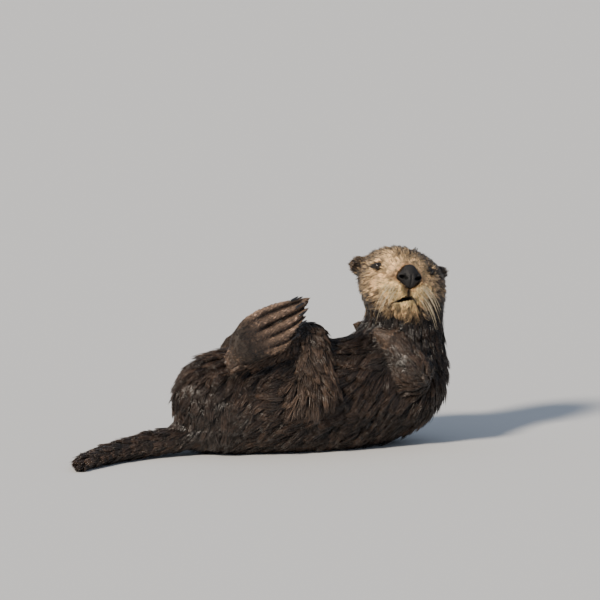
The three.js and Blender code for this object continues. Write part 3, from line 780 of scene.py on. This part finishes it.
TUFTS = {
    # tufts per square centimetre, length, width, how far a tip stands off, gap between clumps, pull
    "head": (43, 0.0175, 0.0011, 0.46, 0.0072, 0.62),
    "ear": (56, 0.0135, 0.0012, 0.42, 0.0060, 0.60),
    "neck": (16, 0.0290, 0.0020, 0.42, 0.0120, 0.80),
    "trunk": (13.5, 0.0340, 0.0022, 0.32, 0.0145, 0.84),
    "tail": (14.5, 0.0230, 0.0020, 0.26, 0.0110, 0.70),
    "foreleg": (20, 0.0180, 0.0017, 0.28, 0.0095, 0.70),
    "forepaw": (48, 0.0045, 0.0010, 0.10, 0.0030, 0.25),
    "thigh": (18, 0.0310, 0.0020, 0.38, 0.0135, 0.86),
    "shank": (16, 0.0190, 0.0021, 0.28, 0.0090, 0.60),
    "hindfoot": (30, 0.0075, 0.0011, 0.09, 0.0040, 0.40),
}
SINK = 0.0008
STRAY_SHARE, STRAY_LONGER = 0.07, 1.35
CLUMP_BEND, TUFT_BEND = 0.16, 0.07
CLAW_CLEARANCE, CLAW_SURROUND, CLAW_SHADE = 0.0020, 0.0045, 0.55
FOOT_ROOM = 0.016
PATCH = 0.003
tuft_chance = np.random.default_rng(11)


def over_skin(column):
    """One column of the tuft table as a smooth value over the skin."""
    table = {region: row[column] for region, row in TUFTS.items()}
    return evened(skin_mesh, by_region(table, skin_nodes).astype(float), 8)


ahead, aside, above = skin_local.T
face_front = smooth_step(0.020, 0.062, ahead) * on_head[:, 0]
density, length, width, rise, gap, pull = (over_skin(column) for column in range(6))
length *= 1 - 0.70 * face_front
width *= 1 - 0.34 * face_front
density *= 1 + 1.35 * face_front
rise *= 1 - 0.15 * face_front
chin_beard = smooth_step(-0.044, -0.062, above) * on_head[:, 0] * face_front
length *= 1 + 2.8 * chin_beard
rise += 0.22 * chin_beard
gap += 0.004 * chin_beard
pull += 0.35 * chin_beard
high_leg = np.char.startswith(np.array(FLESH), "thigh")[skin_nodes] * smooth_step(0.175, 0.235, skin_points[:, 2])
length *= 1 - 0.5 * high_leg
rise *= 1 - 0.4 * high_leg
from_tail_end = np.linalg.norm(skin_points - np.array(SPINE[-1]), axis=1)
tail_end = smooth_step(0.030, 0.010, from_tail_end)
rise += 0.5 * tail_end
length *= 1 - 0.4 * tail_end
foot_skin = kdtree.KDTree(len(skin_points))
for place in np.flatnonzero(by_region(ON_FOOT, skin_nodes) == 1):
    foot_skin.insert(skin_points[place], place)
foot_skin.balance()
thigh_skin = np.flatnonzero(np.char.startswith(np.array(FLESH), "thigh")[skin_nodes])
from_foot = np.array([foot_skin.find(spot)[2] for spot in skin_points[thigh_skin].tolist()])
length[thigh_skin] *= 0.3 + 0.7 * smooth_step(0.003, FOOT_ROOM, from_foot)
rise[thigh_skin] *= 0.2 + 0.8 * smooth_step(0.003, FOOT_ROOM, from_foot)
low_leg = np.char.startswith(np.array(FLESH), "thigh")[skin_nodes] * smooth_step(0.165, 0.125, skin_points[:, 2])
length *= 1 + 0.2 * low_leg
length *= 1 - 0.6 * toe_ends
rise *= 1 - 0.6 * toe_ends
rise *= 1 + 0.35 * low_leg
length *= 1 - 0.25 * smooth_step(-0.15, -0.22, skin_points[:, 0]) * (skin_points[:, 2] > 0.05)
for side in ("left", "right"):
    height, out, _ = eye_offsets(skin_local, side)
    near_eye = (height > -0.014) & (ahead > 0)
    density *= 1 - (out < LID_OPENING * 1.12) * near_eye
    length *= 1 - 0.6 * smooth_step(0.013, 0.006, out) * near_eye
density *= 1 - (gape(skin_local) < 1.0) * (ahead > 0.04)
density *= 1 - 0.75 * smooth_step(0.0026, 0.0012, from_line(skin_local[:, 1:], LIP_LINE)) * (ahead > 0.04)

skin_mesh.calc_loop_triangles()
triangles = np.empty(len(skin_mesh.loop_triangles) * 3, np.int32)
skin_mesh.loop_triangles.foreach_get("vertices", triangles)
triangles = triangles.reshape(-1, 3)
a, b, c = (skin_points[triangles[:, k]] for k in range(3))
areas = np.linalg.norm(np.cross(b - a, c - a), axis=1) / 2
expected = areas * 1e4 * density[triangles].mean(axis=1)
expected[density[triangles].min(axis=1) <= 0] = 0
counts = np.floor(expected + tuft_chance.random(len(expected))).astype(int)
host = np.repeat(np.arange(len(triangles)), counts)
shares = tuft_chance.dirichlet((1, 1, 1), len(host))


def at_roots(values):
    """Values of the skin's vertices at the tufts' roots."""
    picked = values[triangles[host]]
    return (picked * (shares[..., None] if picked.ndim == 3 else shares)).sum(axis=1)


roots, outs = at_roots(skin_points), unit(at_roots(skin_outs))
nose_tree = BVHTree.FromPolygons(points_of(nose_mesh).tolist(), [list(p.vertices) for p in nose_mesh.polygons])
near_nose = np.linalg.norm(roots - NOSE_ROOT, axis=1) < 0.05
clear = np.ones(len(roots), bool)
for i in np.flatnonzero(near_nose):
    spot, normal, _, away = nose_tree.find_nearest(roots[i].tolist())
    clear[i] = away > 0.0007 and (Vector(roots[i]) - spot).dot(normal) > 0
claw_corners, claw_faces = [], []
for node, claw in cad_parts.items():
    if node.startswith("hindclaw"):
        claw_faces += [[len(claw_corners) + i for i in p.vertices] for p in claw.data.polygons]
        claw_corners += [v.co.copy() for v in claw.data.vertices]
claw_tree = BVHTree.FromPolygons(claw_corners, claw_faces)
foot_places = [FLESH.index(node) for node in FLESH if node.startswith("hindfoot")]
from_claw = np.ones(len(roots))
for i in np.flatnonzero(np.isin(skin_nodes[triangles[host, 0]], foot_places)):
    from_claw[i] = claw_tree.find_nearest(roots[i].tolist())[3]
clear &= from_claw > CLAW_CLEARANCE
host, shares, roots, outs, from_claw = host[clear], shares[clear], roots[clear], outs[clear], from_claw[clear]
root_nodes = skin_nodes[triangles[host, 0]]
n = len(roots)
swing = tuft_chance.normal(0, 0.16, n)
lies = flattened(at_roots(lie), outs)
sides = np.cross(outs, lies)
lies = unit(lies * np.cos(swing)[:, None] + sides * np.sin(swing)[:, None])
sides = np.cross(outs, lies)
lengths = np.minimum(at_roots(length) * tuft_chance.uniform(0.72, 1.18, n), from_claw)
widths = at_roots(width) * tuft_chance.uniform(0.75, 1.25, n)
rises = at_roots(rise) * tuft_chance.uniform(0.5, 1.4, n)
stray = tuft_chance.random(n) < STRAY_SHARE
lengths[stray] *= STRAY_LONGER
rises[stray] *= STRAY_LONGER
clump_odds = 1 / np.maximum(at_roots(density) * 1e4 * at_roots(gap) ** 2, 1)
leaders = np.flatnonzero(tuft_chance.random(n) < clump_odds)
tree = kdtree.KDTree(len(leaders))
for place, leader in enumerate(leaders):
    tree.insert(roots[leader] - lies[leader] * lengths[leader] * 0.3, place)
tree.balance()
followed = leaders[[tree.find(root)[1] for root in roots.tolist()]]
tips = roots + lies * lengths[:, None] + outs * (rises * lengths)[:, None] * 0.6
gather = (tips[followed] - tips) * at_roots(pull)[:, None]
reach = np.linalg.norm(gather, axis=1, keepdims=True)
gather *= np.minimum(1, 0.5 * lengths[:, None] / np.maximum(reach, 1e-6))
bends = tuft_chance.normal(0, CLUMP_BEND, n)[followed] + tuft_chance.normal(0, TUFT_BEND, n)
clump_shade = np.clip(np.exp(tuft_chance.normal(0, 0.36, n)), 0.45, 2.2)[followed]
# On the feet the spread of clump tones is widened so that some tufts stand out pale: a painted highlight speckle for
# wet glints on the toes, over the random tone.
clump_shade **= 1 + 0.7 * by_region(ON_FOOT, root_nodes)
head_shade = 1.08 * clump_shade ** np.where(clump_shade > 1, 0.6, 1.6)
clump_shade += by_region(ON_HEAD, root_nodes) * (head_shade - clump_shade)
scatter = tuft_chance.normal(0, 1, n) * np.where(tuft_chance.random(n) < 0.28, 1.25, 0.4)
tones = markings(roots, root_nodes, scatter) * clump_shade[:, None] * tuft_chance.uniform(0.8, 1.25, n)[:, None]
# The tufts take the painted light and shade of the feet and paws; the patchwork on top is random tone.
tones *= at_roots(painted_paw_light)[:, None] * (1 + 0.22 * mottle(roots, 0.07) + 0.12 * mottle(roots, 0.02))[:, None]
tones[from_claw < CLAW_SURROUND] *= CLAW_SHADE
root_local = in_head(roots)
dryness = np.clip(by_region(ON_HEAD, root_nodes) * smooth_step(-0.02, 0.03, root_local[:, 0]), 0, 1)

FINE = {"rings": (0.0, 0.55), "girth": (0.8, 0.75)}
LONG = {"rings": (0.0, 0.35, 0.72), "girth": (0.65, 1.0, 0.6)}
THICKNESS = 0.4


def unwrapped(places):
    """The places laid out flat: how far along their longest axis, and the turn about it."""
    middle_place = places.mean(axis=0)
    axes = np.linalg.svd(places - middle_place, full_matrices=False)[2]
    flat = (places - middle_place) @ axes.T
    along = (flat[:, 0] - flat[:, 0].min()) / np.ptp(flat[:, 0])
    turn = np.arctan2(flat[:, 2], flat[:, 1]) / (2 * math.pi) + 0.5
    return 0.001 + np.column_stack([turn, along]) * (0.998 - PATCH)


def tuft_piece(name, chosen, make):
    """The chosen tufts as one mesh: each a closed three-sided blade that narrows to its tip."""
    rings, girth = make["rings"], make["girth"]
    count, levels = len(chosen), len(rings)
    per_tuft = 3 * levels + 1
    base, out, side = roots[chosen], outs[chosen], sides[chosen]
    verts = np.empty((count, per_tuft, 3))
    along = np.empty((count, per_tuft))
    for level, t in enumerate((*rings, 1.0)):
        lift = rises[chosen] * lengths[chosen] * (t - 0.4 * t * t) - SINK * (1 - t)
        spine = base + lies[chosen] * (lengths[chosen] * t)[:, None] + out * lift[:, None]
        spine = spine + gather[chosen] * t**1.5 + side * (bends[chosen] * lengths[chosen] * t * t)[:, None]
        if level == levels:
            verts[:, -1], along[:, -1] = spine, 1
            break
        half = (widths[chosen] * girth[level] / 2)[:, None]
        verts[:, 3 * level] = spine - side * half
        verts[:, 3 * level + 1] = spine + side * half
        verts[:, 3 * level + 2] = spine + out * half * 2 * THICKNESS
        along[:, 3 * level : 3 * level + 3] = t
    verts[:, :, 2] = np.maximum(verts[:, :, 2], 0.0004)
    loops, sizes, patch = [2, 1, 0], [3], [(0.5, 0.0), (0.3, 0.12), (0.0, 0.0)]
    heights = (0.15, *[0.15 + 0.85 * t for t in rings[1:]], 1.0)
    for level in range(levels):
        for k in range(3):
            here, there, low = 3 * level + k, 3 * level + (k + 1) % 3, heights[level]
            high, left_edge, right_edge = heights[level + 1], k / 3, (k + 1) / 3
            if level < levels - 1:
                loops += [here, there, there + 3, here + 3]
                patch += [(left_edge, low), (right_edge, low), (right_edge, high), (left_edge, high)]
                sizes.append(4)
            else:
                loops += [here, there, per_tuft - 1]
                patch += [(left_edge, low), (right_edge, low), ((left_edge + right_edge) / 2, high)]
                sizes.append(3)
    mesh = bpy.data.meshes.new(name)
    mesh.vertices.add(count * per_tuft)
    mesh.vertices.foreach_set("co", verts.astype(np.float32).ravel())
    all_loops = (np.array(loops)[None] + np.arange(count)[:, None] * per_tuft).ravel()
    all_sizes = np.tile(sizes, count)
    mesh.loops.add(len(all_loops))
    mesh.loops.foreach_set("vertex_index", all_loops.astype(np.int32))
    mesh.polygons.add(len(all_sizes))
    mesh.polygons.foreach_set("loop_start", (np.cumsum(all_sizes) - all_sizes).astype(np.int32))
    bake_map = mesh.uv_layers.new(name="OFBake")
    corner_places = unwrapped(base)[:, None] + np.array(patch)[None] * PATCH
    bake_map.data.foreach_set("uv", corner_places.astype(np.float32).ravel())
    mesh.update(calc_edges=True)
    store(mesh, "tone", "FLOAT_COLOR", np.repeat(tones[chosen], per_tuft, axis=0))
    store(mesh, "along", "FLOAT", along)
    store(mesh, "dry", "FLOAT", np.repeat(dryness[chosen], per_tuft))
    piece = placed(name, mesh)
    mesh.materials.append(pelt.material)
    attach(piece, "root")
    "face_coat" if make is FINE and "head" in name else "body_coat"
    return piece


pelt = Finish("pelt", Specular_IOR_Level=0.5, Sheen_Weight=0.08, Sheen_Roughness=0.4)
tone, along, dry = pelt.attribute("tone", "Color"), pelt.attribute("along"), pelt.attribute("dry")
# Each tuft darkens towards its root, painted shade deep in the coat, and its tip is brightened up to three times,
# painted glints on the wet locks.
root_shade = pelt.node("ValToRGB", {"stops": [(0.0, (0.35,) * 3), (0.45, (0.85,) * 3), (1.0, (1.0,) * 3)]}, {"Fac": along})
hairs = pelt.node("TexNoise", {}, {"Vector": pelt.node("TexCoord", {}, {}, "Object"), "Scale": 700.0})
shaded = pelt.blend(1.0, tone, root_shade, "MULTIPLY")
lit = pelt.blend(along * along * 0.5, shaded, pelt.blend(1.0, tone, (3.0, 2.8, 2.65, 1), "MULTIPLY"))
pelt.feed("Base Color", pelt.blend(hairs * 0.3, lit, (0.0, 0.0, 0.0, 1)))
soaked = pelt.node("TexNoise", {}, {"Vector": pelt.node("TexCoord", {}, {}, "Object"), "Scale": 55.0, "Detail": 2.0})
pelt.feed("Roughness", 0.14 + soaked * 0.24 + dry * 0.36)

names = np.array(FLESH)[root_nodes]
regions = np.array([region_of(name) for name in FLESH])[root_nodes]
on_left = np.char.endswith(names, "left")
trunk_x = roots[:, 0]
GROUPS = {
    "coat_head_face": ((regions == "head") & (root_local[:, 0] > 0.028), FINE),
    "coat_head_crown": (((regions == "head") & (root_local[:, 0] <= 0.028)) | (regions == "ear"), FINE),
    "coat_neck": (regions == "neck", LONG),
    "coat_chest": ((regions == "trunk") & (trunk_x > 0.120), LONG),
    "coat_belly": ((regions == "trunk") & (trunk_x <= 0.120) & (trunk_x > -0.040), LONG),
    "coat_loin": ((regions == "trunk") & (trunk_x <= -0.040) & (trunk_x > -0.160), LONG),
    "coat_rump": ((regions == "trunk") & (trunk_x <= -0.160), LONG),
    "coat_tail": (regions == "tail", LONG),
    "coat_arms": ((regions == "foreleg") | (regions == "forepaw"), LONG),
    "coat_left_leg": (on_left & ((regions == "thigh") | (regions == "shank")), LONG),
    "coat_right_leg": (~on_left & ((regions == "thigh") | (regions == "shank")), LONG),
    "coat_feet": (regions == "hindfoot", FINE),
}
for name, (members, make) in GROUPS.items():
    tuft_piece(name, np.flatnonzero(members), make)

# ---- Whiskers ----
# Stiff cream bristles grow in rows from the puffed pads on each side of the nose. The long lower ones
# droop past the chin, wet and a little wavy.

WHISKER_ROWS, WHISKERS_IN_ROW = 5, 6
WHISKER_THICKNESS = 0.0013
WHISKER_STEPS = 10
whisker_chance = np.random.default_rng(3)
skin_tree = BVHTree.FromPolygons(points_of(skin_mesh).tolist(), [list(p.vertices) for p in skin_mesh.polygons])


def whisker_path(root, out, droop, length):
    """A bristle that leaves the pad along out and bends down."""
    t = np.linspace(0, 1, WHISKER_STEPS)[:, None]
    return root + out * length * (t - 0.25 * t * t) + np.array([0, 0, -1.0]) * length * droop * t**1.7


def tube(path, thickness):
    """Corners and faces of a four-sided tube along a path that narrows to its end."""
    runs = unit(np.gradient(path, axis=0))
    one = unit(np.cross(runs, np.array([0.3, 0.2, 0.93])))
    other = np.cross(runs, one)
    sizes = thickness / 2 * (1 - 0.85 * np.linspace(0, 1, len(path)))[:, None]
    rings = [path + sizes * (one * x + other * y) for x, y in ((1, 0), (0, 1), (-1, 0), (0, -1))]
    verts = np.stack(rings, axis=1).reshape(-1, 3)
    sides_of = [
        (4 * i + k, 4 * i + (k + 1) % 4, 4 * i + 4 + (k + 1) % 4, 4 * i + 4 + k)
        for i in range(len(path) - 1)
        for k in range(4)
    ]
    last = 4 * len(path) - 4
    return verts, [(3, 2, 1, 0), *sides_of, (last, last + 1, last + 2, last + 3)]


whisker_verts, whisker_faces = [], []
for sign in (-1, 1):
    for row in range(WHISKER_ROWS):
        for place in range(WHISKERS_IN_ROW):
            outward, down = place / (WHISKERS_IN_ROW - 1), row / (WHISKER_ROWS - 1)
            spot = np.array([0.085 - 0.030 * outward, sign * (0.014 + 0.022 * outward), -0.012 - 0.022 * down])
            spot[1:] += whisker_chance.normal(0, 0.0012, 2)
            start, aim_at = from_head(spot + np.array([0.05, 0, 0])), -HEAD_AXES[0]
            hit = skin_tree.ray_cast(Vector(start), Vector(aim_at))[0]
            heading = np.array([0.35 - 0.25 * outward, sign * (0.75 + 0.3 * outward), -0.25 - 0.55 * down])
            heading = unit(heading + whisker_chance.normal(0, 0.08, 3)) @ HEAD_AXES
            reach_of = (0.014 + 0.026 * outward) * (1.15 if sign > 0 else 0.9) * whisker_chance.uniform(0.7, 1.25)
            path = whisker_path(np.array(hit) - heading * 0.001, heading, 0.35 + 0.5 * outward, reach_of)
            verts, quads = tube(path, WHISKER_THICKNESS * (0.6 + 0.4 * outward))
            start_at = sum(len(v) for v in whisker_verts)
            whisker_verts.append(verts)
            whisker_faces += [tuple(start_at + i for i in quad) for quad in quads]
whisker_mesh = bpy.data.meshes.new("whiskers")
whisker_mesh.from_pydata(np.concatenate(whisker_verts).tolist(), [], whisker_faces)
whiskers = placed("whiskers", whisker_mesh)
bristle = Finish("bristle", Roughness=0.32, Base_Color=(0.62, 0.52, 0.36, 1))
streaks = bristle.node("TexNoise", {}, {"Vector": bristle.node("TexCoord", {}, {}, "Object"), "Scale": 90.0})
bristle.feed("Base Color", bristle.blend(streaks, (0.75, 0.66, 0.47, 1), (0.42, 0.32, 0.20, 1)))
whisker_mesh.materials.append(bristle.material)
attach(whiskers, "root")

# ---- Hind claws ----
# Each webbed toe ends in a small curved claw of dark horn, polished by the water.

horn = Finish("horn", Roughness=0.2, Coat_Weight=0.5, Coat_Roughness=0.08)
place_on = horn.node("TexCoord", {}, {}, "Object")
bands = horn.node("TexNoise", {}, {"Vector": place_on, "Scale": 320.0, "Detail": 3.0})
horn.feed("Base Color", horn.blend(bands, (0.006, 0.006, 0.007, 1), (0.028, 0.024, 0.024, 1)))
horn.feed("Roughness", 0.16 + bands * 0.22)
for node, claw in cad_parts.items():
    if node.startswith("hindclaw"):
        weld = claw.modifiers.new("weld", "WELD")
        weld.merge_threshold = 1e-5
        rounding = claw.modifiers.new("rounding", "SUBSURF")
        rounding.levels = rounding.render_levels = 1
        claw.data.shade_smooth()
        claw.data.materials.clear()
        claw.data.materials.append(horn.material)

# ---- Floor, light and camera ----
# A wide pale floor and a large soft sun from the front left. The camera stands far off with a long
# lens, low and a little towards the tail.

CAMERA_AZIMUTH, CAMERA_ELEVATION = -20, 8
CAMERA_DISTANCE = 12.0
FRAME_WIDTH = 1.110
LOOK_FROM_ORIGIN = (-0.01295, 0.1776)
AIM_HEIGHT = 0.095

floor_mesh = bpy.data.meshes.new("floor")
floor_mesh.from_pydata([(-60, -60, 0), (60, -60, 0), (60, 60, 0), (-60, 60, 0)], [], [(0, 1, 2, 3)])
floor = placed("floor", floor_mesh)
floor_mesh.materials.append(Finish("floor_paint", Base_Color=(0.72, 0.72, 0.72, 1), Roughness=0.9).material)

sun_data = bpy.data.lights.new("sun", "SUN")
sun_data.energy = 5.2
sun_data.angle = math.radians(9)
sun_data.color = (1.0, 0.90, 0.76)
sun = bpy.data.objects.new("sun", sun_data)
bpy.context.scene.collection.objects.link(sun)
sun.rotation_euler = Vector((0.92, 0.56, -0.66)).to_track_quat("-Z", "Y").to_euler()
sky = bpy.data.worlds.new("sky")
sky.use_nodes = True
sky.node_tree.nodes["Background"].inputs["Color"].default_value = (0.66, 0.77, 0.95, 1)
sky.node_tree.nodes["Background"].inputs["Strength"].default_value = 0.44
bpy.context.scene.world = sky

azimuth, elevation = math.radians(CAMERA_AZIMUTH), math.radians(CAMERA_ELEVATION)
back = Vector((
    math.sin(azimuth) * math.cos(elevation), -math.cos(azimuth) * math.cos(elevation), math.sin(elevation)
))
right = Vector((math.cos(azimuth), math.sin(azimuth), 0))
up = back.cross(right)
aim = Vector((0, 0, AIM_HEIGHT)) + right * LOOK_FROM_ORIGIN[0] + up * LOOK_FROM_ORIGIN[1]
camera_data = bpy.data.cameras.new("camera")
camera_data.sensor_width = 36
camera_data.lens = 36 * CAMERA_DISTANCE / FRAME_WIDTH
camera_data.clip_start, camera_data.clip_end = 0.1, 200
camera = bpy.data.objects.new("camera", camera_data)
bpy.context.scene.collection.objects.link(camera)
camera.location = aim + back * CAMERA_DISTANCE
camera.rotation_euler = (-back).to_track_quat("-Z", "Y").to_euler()
bpy.context.scene.camera = camera
